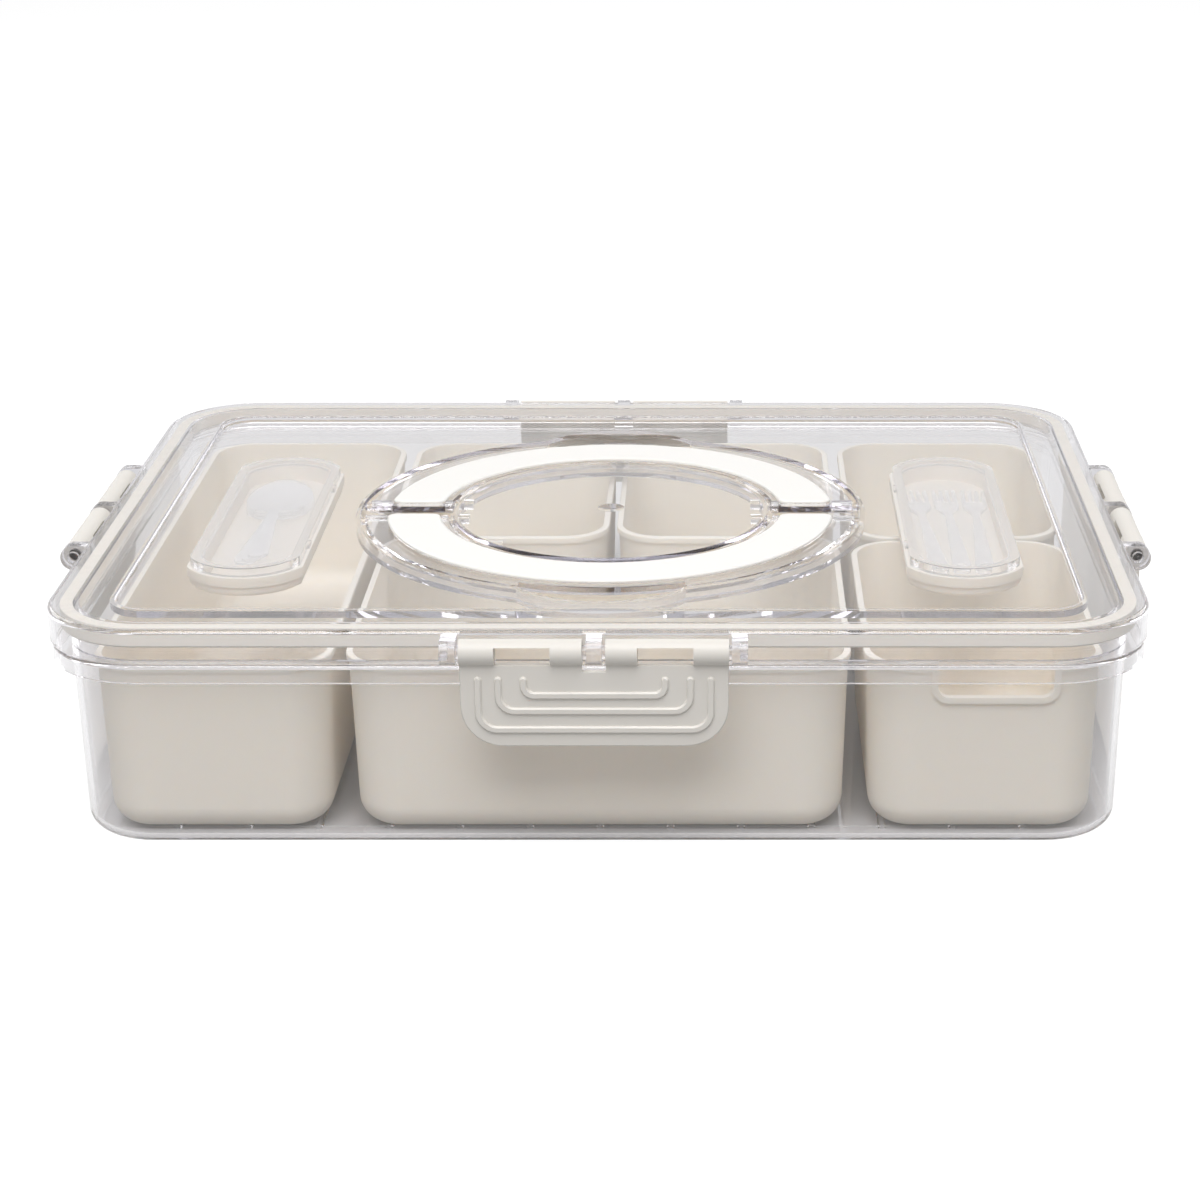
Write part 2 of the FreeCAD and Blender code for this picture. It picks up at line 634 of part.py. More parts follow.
def make_ring_frame():
    """Front half of the clear ring, with its grip seat, thumb cut, knuckles and pin bores."""
    frame = half_ring_face(RING_INNER, RING_OUTER, RING_END, RING_Z).extrude(V(0, 0, RING_THICKNESS))
    frame = frame.makeChamfer(RING_CHAMFER, edges_at(frame, RING_TOP_Z))
    low_ends = [e for e in edges_at(frame, RING_Z) if e.BoundBox.YLength < SMALL]
    frame = frame.makeChamfer(RING_END_CHAMFER, low_ends)
    frame = frame.cut(thumb_cut()).cut(make_grip_block(RING_TOP_Z - GRIP_SEAT, RING_TOP_Z))
    bore = RING_PIN_RADIUS + PIN_CLEAR
    slack = RING_CLEAR_SIDE + PIN_END_GAP
    near = math.sqrt(RING_INNER**2 - RING_AXIS_Y**2)
    far = math.sqrt(RING_OUTER**2 - RING_AXIS_Y**2)
    for sign in (-1, 1):
        for x, way, reach in ((near, sign, RING_PIN_REACH), (far, -sign, RING_OUTER_PIN_REACH)):
            edge = V(sign * x, -RING_AXIS_Y, RING_AXIS_Z)
            inward = V(way, 0, 0)
            knuckle = rod(edge + inward * RING_KNUCKLE_SINK, inward, RING_KNUCKLE_RADIUS, reach)
            frame = frame.fuse(knuckle)
            frame = frame.cut(rod(edge - inward * RING_CLEAR_SIDE, inward, bore, reach + slack))
    return frame


def make_grip():
    """Cream inlay of the front half ring."""
    base = RING_TOP_Z - GRIP_SEAT
    grip = make_grip_block(base, base + GRIP_HEIGHT)
    return grip.makeFillet(GRIP_ROUND, edges_at(grip, base + GRIP_HEIGHT))


def turned(shape):
    """The same shape turned half round the middle."""
    copy = shape.copy()
    copy.rotate(V(0, 0, 0), V(0, 0, 1), 180)
    return copy


# Inner boxes


def notch_block(half, depth, radius, y0, y1, top):
    """Block in the form of a finger notch, round in its lower corners, from y0 to y1."""
    low = BOX_RIM_Z - depth
    block = Part.makeBox(2 * half, abs(y1 - y0), top - low, V(-half, min(y0, y1), low))
    lower = []
    for edge in block.Edges:
        box = edge.BoundBox
        if abs(box.ZMax - low) < SMALL and box.XLength < SMALL:
            lower.append(edge)
    return block.makeFillet(radius, lower)


def notched(box, length, width, sign, place):
    """Cut one finger notch into the front (-1) or back (+1) wall and edge it with a lip."""
    half = length * NOTCH_SHARE / 2
    outside = sign * width / 2
    rim_inside = sign * (width / 2 - BOX_LIP - BOX_WALL)
    room_inside = sign * (width / 2 - BOX_LIP - 2 * BOX_WALL)
    grown = (half + NOTCH_LIP, NOTCH_DEPTH + NOTCH_LIP, NOTCH_ROUND + NOTCH_LIP)
    lip = notch_block(*grown, rim_inside, outside, BOX_RIM_Z)
    opening = notch_block(half, NOTCH_DEPTH, NOTCH_ROUND, room_inside, outside, BOX_RIM_Z + BOX_LIP_DEPTH)
    for piece in (lip, opening):
        piece.translate(V(*place, 0))
    return box.fuse(lip).cut(opening)


def make_box(length, width, centre, notch_sides=(), notch_shift=0.0):
    """One cream inner box; length and width are over its lip."""
    slope = math.tan(math.radians(BOX_DRAFT))
    top = (length - 2 * BOX_LIP, width - 2 * BOX_LIP)
    inset = (BOX_RIM_Z - BOX_BASE_Z) * slope
    outer = drafted_block(top, inset, BOX_CORNER, BOX_BASE_Z, BOX_RIM_Z, centre)
    outer = outer.makeFillet(BOX_BASE_ROUND, edges_at(outer, BOX_BASE_Z))
    wall = 2 * BOX_WALL
    cavity_top = (top[0] - wall, top[1] - wall)
    floor = BOX_BASE_Z + BOX_WALL
    cavity_inset = (BOX_RIM_Z - floor) * slope
    cavity = drafted_block(cavity_top, cavity_inset, BOX_CORNER - BOX_WALL, floor, BOX_RIM_Z, centre)
    cavity = cavity.makeFillet(BOX_BASE_ROUND - BOX_WALL, edges_at(cavity, floor))
    lip = rounded_block(length, width, BOX_CORNER + BOX_LIP, BOX_RIM_Z - BOX_LIP_DEPTH, BOX_RIM_Z, centre)
    lip = lip.makeFillet(BOX_LIP_ROUND, edges_at(lip, BOX_RIM_Z))
    box = outer.fuse(lip).cut(cavity)
    for sign in notch_sides:
        box = notched(box, length, width, sign, (centre[0] + notch_shift, centre[1]))
    return box


def make_boxes():
    """All six inner boxes by node name."""
    side_x = (BOX_ROW_LENGTH - SIDE_BOX_LENGTH) / 2
    half_w = (BOX_ROW_WIDTH - BOX_ROW_GAP) / 2
    half_y = (half_w + BOX_ROW_GAP) / 2
    back_l = (CENTRE_BOX_LENGTH - BOX_ROW_GAP) / 2
    back_x = (back_l + BOX_ROW_GAP) / 2
    return {
        "box_left": make_box(SIDE_BOX_LENGTH, BOX_ROW_WIDTH, (-side_x, 0)),
        "box_front_centre": make_box(CENTRE_BOX_LENGTH, half_w, (0, -half_y), (-1, 1)),
        "box_back_centre_left": make_box(back_l, half_w, (-back_x, half_y)),
        "box_back_centre_right": make_box(back_l, half_w, (back_x, half_y)),
        "box_front_right": make_box(SIDE_BOX_LENGTH, half_w, (side_x, -half_y), (-1,), NOTCH_SHIFT),
        "box_back_right": make_box(SIDE_BOX_LENGTH, half_w, (side_x, half_y)),
    }


# Cutlery cases and cutlery


def case_block(grow, z0, z1):
    """Case outline grown outward: straight long sides and arced ends."""
    x = CASE_WIDTH / 2 + grow
    end = CASE_LENGTH / 2 + grow
    shoulder = end - CASE_SAGITTA
    front = Part.Arc(V(-x, -shoulder, z0), V(0, -end, z0), V(x, -shoulder, z0)).toShape()
    back = Part.Arc(V(x, shoulder, z0), V(0, end, z0), V(-x, shoulder, z0)).toShape()
    right = Part.makeLine(V(x, -shoulder, z0), V(x, shoulder, z0))
    left = Part.makeLine(V(-x, shoulder, z0), V(-x, -shoulder, z0))
    return Part.Face(Part.Wire([front, right, back, left])).extrude(V(0, 0, z1 - z0))


def make_cover():
    """Clear cap of a case, held against the panel, with snap marks on its long sides."""
    cover = case_block(0, COVER_UNDER_Z, COVER_TOP_Z)
    cover = cover.cut(case_block(-COVER_WALL, COVER_UNDER_Z, COVER_TOP_Z - COVER_PLATE))
    marks = []
    for x in (-CASE_WIDTH / 2 - SNAP_WIDTH, CASE_WIDTH / 2):
        for y in (-CASE_LENGTH / 4, CASE_LENGTH / 4):
            corner = V(x, y - SNAP_LENGTH / 2, COVER_UNDER_Z)
            marks.append(Part.makeBox(SNAP_WIDTH, SNAP_LENGTH, COVER_DEPTH / 2, corner))
    return cover.multiFuse(marks)


def make_tray():
    """Cream tray of a case, hung from the cover: a proud rim above a slightly smaller body."""
    middle_z = (TRAY_Z + COVER_UNDER_Z) / 2
    body = case_block(TRAY_PROUD - TRAY_STEP, TRAY_Z, middle_z)
    body = body.makeFillet(TRAY_ROUND, edges_at(body, TRAY_Z))
    tray = body.fuse(case_block(TRAY_PROUD, middle_z, COVER_UNDER_Z))
    return tray.cut(case_block(-COVER_WALL, TRAY_INSIDE_Z, COVER_UNDER_Z))


def make_fork():
    """Small flat fork, tines towards +Y, with a hole in the round end of its handle."""
    half = CUTLERY_LENGTH / 2
    t = FORK_THICKNESS
    shoulder = half - FORK_HEAD_LENGTH
    outline = [V(-FORK_NECK / 2, shoulder, 0), V(-FORK_HEAD / 2, shoulder + FORK_HEAD, 0)]
    outline += [V(-FORK_HEAD / 2, half, 0), V(FORK_HEAD / 2, half, 0)]
    outline += [V(FORK_HEAD / 2, shoulder + FORK_HEAD, 0), V(FORK_NECK / 2, shoulder, 0)]
    fork = polygon_prism(outline, V(0, 0, t))
    end_y = -half + FORK_END / 2
    handle = [V(-FORK_NECK / 2, shoulder, 0), V(FORK_NECK / 2, shoulder, 0)]
    handle += [V(FORK_END / 2, end_y, 0), V(-FORK_END / 2, end_y, 0)]
    fork = fork.fuse(polygon_prism(handle, V(0, 0, t)))
    fork = fork.fuse(Part.makeCylinder(FORK_END / 2, t, V(0, end_y, 0)))
    fork = fork.cut(Part.makeCylinder(FORK_HOLE, t, V(0, end_y, 0)))
    slot = FORK_HEAD / (2 * FORK_TINES - 1)
    for i in range(FORK_TINES - 1):
        x = -FORK_HEAD / 2 + slot * (2 * i + 1)
        fork = fork.cut(Part.makeBox(slot, FORK_TINE_LENGTH, t, V(x, half - FORK_TINE_LENGTH, 0)))
    return fork


def make_spoon():
    """Small spoon, bowl towards +Y: an oval piece of a shallow round shell, and a flat handle."""
    half = CUTLERY_LENGTH / 2
    bowl_y = half - SPOON_BOWL_LENGTH / 2
    t = SPOON_THICKNESS
    reach = SPOON_BOWL_LENGTH / 2
    radius = (reach**2 + SPOON_BOWL_DEPTH**2) / (2 * SPOON_BOWL_DEPTH)
    shell = Part.makeSphere(radius, V(0, bowl_y, radius))
    shell = shell.cut(Part.makeSphere(radius - t, V(0, bowl_y, radius)))
    oval = Part.Ellipse(V(0, bowl_y + reach, 0), V(-SPOON_BOWL_WIDTH / 2, bowl_y, 0), V(0, bowl_y, 0))
    plan = Part.Face(Part.Wire(oval.toShape())).extrude(V(0, 0, SPOON_BOWL_DEPTH + 2 * t))
    bowl = shell.common(plan)
    neck_y = bowl_y - reach + SPOON_OVERLAP
    end_y = -half + SPOON_END / 2
    handle = [V(-SPOON_NECK / 2, neck_y, 0), V(SPOON_NECK / 2, neck_y, 0)]
    handle += [V(SPOON_END / 2, end_y, 0), V(-SPOON_END / 2, end_y, 0)]
    flat = polygon_prism(handle, V(0, 0, t))
    flat = flat.fuse(Part.makeCylinder(SPOON_END / 2, t, V(0, end_y, 0)))
    flat.translate(V(0, 0, SPOON_BOWL_DEPTH))
    return bowl.fuse(flat)


def make_cutlery():
    """Forks side by side in the right case, nested spoons in the left, by node name."""
    fork = make_fork()
    spoon = make_spoon()
    parts = {}
    for i in range(CUTLERY_COUNT):
        place = i - (CUTLERY_COUNT - 1) / 2
        single = fork.copy()
        single.rotate(V(0, 0, 0), V(0, 0, 1), -FORK_FAN * place)
        single.translate(V(CASE_PLACE + FORK_PITCH * place, 0, TRAY_INSIDE_Z + CUTLERY_GAP))
        parts[f"fork_{i + 1}"] = single
        nested = spoon.copy()
        middle = V(0, CUTLERY_LENGTH / 2 - SPOON_BOWL_LENGTH / 2, 0)
        nested.rotate(middle, V(0, 0, 1), SPOON_FAN * place)
        nested.translate(V(-CASE_PLACE, 0, TRAY_INSIDE_Z + CUTLERY_GAP + SPOON_STEP * i))
        parts[f"spoon_{i + 1}"] = nested
    return parts


def make_cases():
    """Both cutlery cases by node name."""
    parts = {}
    for name, x in (("left", -CASE_PLACE), ("right", CASE_PLACE)):
        for kind, shape in (("cover", make_cover()), ("tray", make_tray())):
            shape.translate(V(x, 0, 0))
            parts[f"cutlery_{kind}_{name}"] = shape
    return parts


def build():
    """Every node of the box by name."""
    nodes = {"tub": make_tub(), "lid": make_lid(), "gasket": make_gasket()}
    latch = make_latch()
    nodes.update({f"latch_{side}": place_on_side(latch, side) for side in SIDES})
    frame = make_ring_frame()
    grip = make_grip()
    nodes["handle_front_frame"] = frame
    nodes["handle_front_grip"] = grip
    nodes["handle_back_frame"] = turned(frame)
    nodes["handle_back_grip"] = turned(grip)
    nodes.update(make_boxes())
    nodes.update(make_cases())
    nodes.update(make_cutlery())
    return nodes


os.makedirs("parts", exist_ok=True)
for name, shape in build().items():
    shape.exportStep(f"parts/{name}.step")
    print(name, len(shape.Solids), "solid", round(shape.Volume / 1000, 2), "cm3", shape.isValid())
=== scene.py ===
"""Divided grazing box: finishes, small moulded details, studio and camera around the fixed frame.

Everything is in metres in the frame of the CAD model, with +Z up and the front latch facing -Y.
"""

import logging
import math
from dataclasses import dataclass, field
from enum import Enum
from typing import Iterable

import bpy
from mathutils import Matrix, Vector

LOG = logging.getLogger("grazing_box")
MM = 0.001
Colour = tuple[float, float, float]


class Side(Enum):
    """The four sides of the lid that carry a latch."""

    FRONT = "front"
    BACK = "back"
    LEFT = "left"
    RIGHT = "right"


class Slot(Enum):
    """Material slots of the record."""

    CLEAR = "clear_plastic"
    CREAM = "cream_plastic"
    LATCH = "latch_plastic"
    GRIP = "grip_plastic"
    GASKET = "gasket_rubber"
    CUTLERY = "cutlery_plastic"


# Shader building


class Shader:
    """A material's node tree with short calls to add and link nodes."""

    def __init__(self, name: str) -> None:
        """Start an empty material called name."""
        self.material = bpy.data.materials.new(name)
        self.material.use_nodes = True
        self.tree = self.material.node_tree
        self.tree.nodes.clear()
        self.output = self.tree.nodes.new("ShaderNodeOutputMaterial")

    def node(self, kind: str, **values: object) -> bpy.types.Node:
        """Add a node.

        Args:
            kind: the node's type without its ShaderNode prefix.
            values: settings of the node itself, by name.

        Returns:
            The new node.
        """
        made = self.tree.nodes.new("ShaderNode" + kind)
        for key, value in values.items():
            setattr(made, key, value)
        return made

    def link(self, source: bpy.types.NodeSocket, target: bpy.types.NodeSocket) -> None:
        """Join an output socket to an input socket."""
        self.tree.links.new(source, target)

    def group(self, tree: bpy.types.NodeTree, **inputs: object) -> bpy.types.Node:
        """Place a shared node group.

        Args:
            tree: the group.
            inputs: values of its input sockets; an underscore stands for a space.

        Returns:
            The group node.
        """
        made = self.tree.nodes.new("ShaderNodeGroup")
        made.node_tree = tree
        for key, value in inputs.items():
            made.inputs[key.replace("_", " ")].default_value = value
        return made


def new_group(name: str, inputs: dict[str, float], outputs: Iterable[str]) -> bpy.types.NodeTree:
    """Make an empty node group with float sockets.

    Args:
        name: the group's name.
        inputs: input socket names with their default values.
        outputs: output socket names.

    Returns:
        The group, which has its input and output nodes.
    """
    tree = bpy.data.node_groups.new(name, "ShaderNodeTree")
    for label, value in inputs.items():
        socket = tree.interface.new_socket(label, in_out="INPUT", socket_type="NodeSocketFloat")
        socket.default_value = value
    for label in outputs:
        tree.interface.new_socket(label, in_out="OUTPUT", socket_type="NodeSocketFloat")
    tree.nodes.new("NodeGroupInput")
    tree.nodes.new("NodeGroupOutput")
    return tree


def ends(tree: bpy.types.NodeTree) -> tuple[bpy.types.Node, bpy.types.Node]:
    """The input and output nodes of a group."""
    found = {n.type: n for n in tree.nodes}
    return found["GROUP_INPUT"], found["GROUP_OUTPUT"]


def noise_in(tree: bpy.types.NodeTree, place: bpy.types.NodeSocket, detail: float) -> bpy.types.Node:
    """Add a noise texture fed by object coordinates in metres."""
    noise = tree.nodes.new("ShaderNodeTexNoise")
    noise.inputs["Detail"].default_value = detail
    tree.links.new(place, noise.inputs["Vector"])
    return noise


def moulding_group() -> bpy.types.NodeTree:
    """Moulded plastic: slow flow waves, fine grain and light scuffs.

    Returns:
        A group giving Height for a bump, Tone for colour and Scuff for roughness.
    """
    sizes = {"Flow Scale": 18.0, "Flow": 0.5, "Grain Scale": 900.0, "Grain": 0.5, "Scuff Scale": 60.0}
    tree = new_group("moulding", sizes, ("Height", "Tone", "Scuff"))
    entry, leave = ends(tree)
    place = tree.nodes.new("ShaderNodeTexCoord").outputs["Object"]
    flow = noise_in(tree, place, 1.0)
    grain = noise_in(tree, place, 2.0)
    scuff = noise_in(tree, place, 6.0)
    for noise, label in ((flow, "Flow Scale"), (grain, "Grain Scale"), (scuff, "Scuff Scale")):
        tree.links.new(entry.outputs[label], noise.inputs["Scale"])
    slow = tree.nodes.new("ShaderNodeMath")
    slow.operation = "MULTIPLY"
    fine = tree.nodes.new("ShaderNodeMath")
    fine.operation = "MULTIPLY_ADD"
    tree.links.new(flow.outputs["Fac"], slow.inputs[0])
    tree.links.new(entry.outputs["Flow"], slow.inputs[1])
    tree.links.new(grain.outputs["Fac"], fine.inputs[0])
    tree.links.new(entry.outputs["Grain"], fine.inputs[1])
    tree.links.new(slow.outputs[0], fine.inputs[2])
    marks = tree.nodes.new("ShaderNodeMapRange")
    marks.inputs["From Min"].default_value = 0.45
    marks.inputs["From Max"].default_value = 0.75
    tree.links.new(scuff.outputs["Fac"], marks.inputs["Value"])
    tree.links.new(fine.outputs[0], leave.inputs["Height"])
    tree.links.new(flow.outputs["Fac"], leave.inputs["Tone"])
    tree.links.new(marks.outputs["Result"], leave.inputs["Scuff"])
    return tree


def shared_moulding() -> bpy.types.NodeTree:
    """The moulding group, built once."""
    return bpy.data.node_groups.get("moulding") or moulding_group()


def outside_group() -> bpy.types.NodeTree:
    """What stands outside a rectangle in plan, such as the lugs outside the lid.

    Returns:
        A group giving Mask, which is 1 outside the rectangle and 0 inside.
    """
    tree = new_group("outside_plan", {"Half Length": 0.1, "Half Width": 0.1}, ("Mask",))
    entry, leave = ends(tree)
    place = tree.nodes.new("ShaderNodeTexCoord").outputs["Object"]
    parts = tree.nodes.new("ShaderNodeSeparateXYZ")
    tree.links.new(place, parts.inputs[0])
    either = tree.nodes.new("ShaderNodeMath")
    either.operation = "MAXIMUM"
    for slot, (axis, label) in enumerate((("X", "Half Length"), ("Y", "Half Width"))):
        size = tree.nodes.new("ShaderNodeMath")
        size.operation = "ABSOLUTE"
        tree.links.new(parts.outputs[axis], size.inputs[0])
        beyond = tree.nodes.new("ShaderNodeMath")
        beyond.operation = "GREATER_THAN"
        tree.links.new(size.outputs[0], beyond.inputs[0])
        tree.links.new(entry.outputs[label], beyond.inputs[1])
        tree.links.new(beyond.outputs[0], either.inputs[slot])
    tree.links.new(either.outputs[0], leave.inputs["Mask"])
    return tree


def shared_outside() -> bpy.types.NodeTree:
    """The outside plan group, built once."""
    return bpy.data.node_groups.get("outside_plan") or outside_group()


def add_bump(shader: Shader, height: bpy.types.NodeSocket, depth: float, target: bpy.types.Node) -> None:
    """Feed a height through a bump node of that depth, in metres, to the target's normal."""
    bump = shader.node("Bump")
    bump.inputs["Strength"].default_value = 1.0
    bump.inputs["Distance"].default_value = depth
    shader.link(height, bump.inputs["Height"])
    shader.link(bump.outputs["Normal"], target.inputs["Normal"])


def add_roughness(shader: Shader, scuff: bpy.types.NodeSocket, low: float, high: float, target: bpy.types.Node) -> None:
    """Spread a scuff mask between two roughness values."""
    spread = shader.node("MapRange", clamp=False)
    spread.inputs["To Min"].default_value = low
    spread.inputs["To Max"].default_value = high
    shader.link(scuff, spread.inputs["Value"])
    shader.link(spread.outputs["Result"], target.inputs["Roughness"])


@dataclass(frozen=True)
class ClearPlastic:
    """Polished clear moulding: lamps pass it, light trapped in its thickness greys and leaves again."""

    name: str
    slot: Slot = Slot.CLEAR
    tint: Colour = (0.985, 0.98, 0.985)
    ior: float = 1.5
    roughness: tuple[float, float] = (0.0, 0.02)
    transmission: float = 1.0
    depth_colour: Colour = (0.60, 0.585, 0.655)
    depth_density: float = 17.0
    wave: float = 0.0000015
    lamp_through: float = 0.97
    trapped_after: float = 16.0
    trapped_through: float = 0.9
    frost_outside: tuple[float, float] | None = None
    frost: float = 0.22
    frost_tint: Colour = (0.86, 0.85, 0.875)

    def through(self, shader: Shader, level: float) -> bpy.types.Node:
        """A straight way through the surface that keeps that share of the light."""
        node = shader.node("BsdfTransparent")
        node.inputs["Color"].default_value = (level, level, level, 1.0)
        return node

    def frosted(self, shader: Shader, body: bpy.types.Node, scuff: bpy.types.NodeSocket) -> bpy.types.NodeSocket:
        """Frost what stands outside the plan.

        Args:
            shader: the material being built.
            body: its plastic, which takes the frost's tint.
            scuff: the moulding's scuff mask.

        Returns:
            The scuff mask, raised where the plastic is frosted.
        """
        if self.frost_outside is None:
            return scuff
        half_length, half_width = self.frost_outside
        outside = shader.group(shared_outside(), Half_Length=half_length, Half_Width=half_width)
        tone = shader.node("Mix", data_type="RGBA")
        tone.inputs[6].default_value = (*self.tint, 1.0)
        tone.inputs[7].default_value = (*self.frost_tint, 1.0)
        shader.link(outside.outputs["Mask"], tone.inputs[0])
        shader.link(tone.outputs[2], body.inputs["Base Color"])
        raised = shader.node("Math", operation="MULTIPLY_ADD")
        raised.inputs[1].default_value = self.frost / self.roughness[1]
        shader.link(outside.outputs["Mask"], raised.inputs[0])
        shader.link(scuff, raised.inputs[2])
        return raised.outputs[0]

    def build(self) -> bpy.types.Material:
        """Make the material."""
        shader = Shader(self.name)
        body = shader.node("BsdfPrincipled")
        body.inputs["Base Color"].default_value = (*self.tint, 1.0)
        body.inputs["IOR"].default_value = self.ior
        body.inputs["Transmission Weight"].default_value = self.transmission
        moulding = shader.group(shared_moulding(), Flow_Scale=14.0, Grain=0.0, Scuff_Scale=45.0)
        add_roughness(shader, self.frosted(shader, body, moulding.outputs["Scuff"]), *self.roughness, body)
        add_bump(shader, moulding.outputs["Height"], self.wave, body)
        path = shader.node("LightPath")
        deep = shader.node("Math", operation="GREATER_THAN")
        deep.inputs[1].default_value = self.trapped_after
        shader.link(path.outputs["Ray Depth"], deep.inputs[0])
        released = shader.node("MixShader")
        shader.link(deep.outputs[0], released.inputs[0])
        shader.link(body.outputs[0], released.inputs[1])
        shader.link(self.through(shader, self.trapped_through).outputs[0], released.inputs[2])
        either = shader.node("Math", operation="MAXIMUM")
        shader.link(path.outputs["Is Shadow Ray"], either.inputs[0])
        shader.link(path.outputs["Is Diffuse Ray"], either.inputs[1])
        mix = shader.node("MixShader")
        shader.link(either.outputs[0], mix.inputs[0])
        shader.link(released.outputs[0], mix.inputs[1])
        shader.link(self.through(shader, self.lamp_through).outputs[0], mix.inputs[2])
        shader.link(mix.outputs[0], shader.output.inputs["Surface"])
        if self.depth_density > 0:
            depth = shader.node("VolumeAbsorption")
            depth.inputs["Color"].default_value = (*self.depth_colour, 1.0)
            depth.inputs["Density"].default_value = self.depth_density
            shader.link(depth.outputs[0], shader.output.inputs["Volume"])
        return shader.material


@dataclass(frozen=True)
class SatinPlastic:
    """Opaque moulding with a soft sheen, fine grain and slow tone changes."""

    name: str
    slot: Slot
    colour: Colour
    shade: float = 0.965
    roughness: tuple[float, float] = (0.36, 0.46)
    grain: float = 0.000012
    soft: float = 0.08
    soft_depth: float = 0.0015

    def build(self) -> bpy.types.Material:
        """Make the material."""
        shader = Shader(self.name)
        body = shader.node("BsdfPrincipled")
        moulding = shader.group(shared_moulding(), Flow_Scale=9.0, Flow=0.35, Grain=0.65, Grain_Scale=1400.0)
        tone = shader.node("Mix", data_type="RGBA")
        tone.inputs[6].default_value = (*(c * self.shade for c in self.colour), 1.0)
        tone.inputs[7].default_value = (*self.colour, 1.0)
        shader.link(moulding.outputs["Tone"], tone.inputs[0])
        shader.link(tone.outputs[2], body.inputs["Base Color"])
        add_roughness(shader, moulding.outputs["Scuff"], *self.roughness, body)
        add_bump(shader, moulding.outputs["Height"], self.grain, body)
        body.inputs["Subsurface Weight"].default_value = self.soft
        body.inputs["Subsurface Radius"].default_value = (1.0, 0.8, 0.6)
        body.inputs["Subsurface Scale"].default_value = self.soft_depth
        shader.link(body.outputs[0], shader.output.inputs["Surface"])
        return shader.material


CLEAR = ClearPlastic("clear_moulding")
LID_CLEAR = ClearPlastic("lid_moulding", frost_outside=(193.4 * MM, 145.4 * MM))
CREAM = SatinPlastic(
    "cream_moulding",
    Slot.CREAM,
    (0.86, 0.805, 0.725),
    roughness=(0.52, 0.62),
    soft=0.4,
    soft_depth=0.004,
)
LATCH = SatinPlastic("latch_moulding", Slot.LATCH, (0.73, 0.70, 0.655), roughness=(0.45, 0.55))
GRIP = SatinPlastic("grip_moulding", Slot.GRIP, (0.86, 0.845, 0.82), roughness=(0.4, 0.5))
GASKET = SatinPlastic("gasket_silicone", Slot.GASKET, (0.86, 0.815, 0.75), roughness=(0.5, 0.6), soft=0.2)
FROSTED = ClearPlastic(
    "frosted_cutlery",
    slot=Slot.CUTLERY,
    tint=(0.97, 0.97, 0.975),
    transmission=0.72,
    roughness=(0.2, 0.3),
    depth_density=0.0,
)


# Pieces of the box


@dataclass
class Dresser:
    """Gives CAD nodes their finishes and reports each one."""

    made: dict[str, bpy.types.Material] = field(default_factory=dict)

    def dress(self, node: str, finish: ClearPlastic | SatinPlastic) -> bpy.types.Object:
        """Put a finish on a CAD node.

        Args:
            node: the node's name.
            finish: what it is made of.

        Returns:
            The node's object.
        """
        if finish.name not in self.made:
            self.made[finish.name] = finish.build()
        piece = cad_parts[node]
        piece.data.materials.clear()
        piece.data.materials.append(self.made[finish.name])
        for polygon in piece.data.polygons:
            polygon.material_index = 0
        LOG.info("%s dressed in %s", node, finish.name)
        return piece


@dataclass
class TubSet:
    """Clear tub and the cream boxes that stand in it."""

    boxes: tuple[str, ...] = (
        "box_left",
        "box_front_centre",
        "box_back_centre_left",
        "box_back_centre_right",
        "box_front_right",
        "box_back_right",
    )

    def build(self, dresser: Dresser) -> None:
        """Dress the tub and its boxes."""
        dresser.dress("tub", CLEAR)
        for name in self.boxes:
            dresser.dress(name, CREAM)


@dataclass
class LidSet:
    """Clear lid with its gasket."""

    def build(self, dresser: Dresser) -> None:
        """Dress the lid and gasket."""
        dresser.dress("lid", LID_CLEAR)
        dresser.dress("gasket", GASKET)


@dataclass
class LatchSet:
    """The four cream latches."""

    def build(self, dresser: Dresser) -> None:
        """Dress each latch."""
        for side in Side:
            dresser.dress(f"latch_{side.value}", LATCH)


@dataclass
class CarryingRing:
    """Two clear half rings with cream grips."""

    halves: tuple[Side, ...] = (Side.FRONT, Side.BACK)
    seat_gap: float = 0.06 * MM
    weld: float = 0.002 * MM

    def ease_in_seat(self, grip: bpy.types.Object) -> None:
        """Draw a grip's skin in from its seat, so that the two faces don't lie in one place."""
        joined = grip.modifiers.new("joined skin", "WELD")
        joined.merge_threshold = self.weld
        drawn = grip.modifiers.new("seat gap", "DISPLACE")
        drawn.direction = "NORMAL"
        drawn.mid_level = 0.0
        drawn.strength = -self.seat_gap

    def build(self, dresser: Dresser) -> None:
        """Dress both halves."""
        for side in self.halves:
            dresser.dress(f"handle_{side.value}_frame", CLEAR)
            self.ease_in_seat(dresser.dress(f"handle_{side.value}_grip", GRIP))


@dataclass
class CutlerySet:
    """Cutlery cases under the lid, with forks and spoons."""

    count: int = 3

    def build(self, dresser: Dresser) -> None:
        """Dress the cases and what they hold."""
        for side in (Side.LEFT, Side.RIGHT):
            dresser.dress(f"cutlery_cover_{side.value}", CLEAR)
            dresser.dress(f"cutlery_tray_{side.value}", CREAM)
        for i in range(1, self.count + 1):
            dresser.dress(f"fork_{i}", FROSTED)
            dresser.dress(f"spoon_{i}", FROSTED)


# Studio


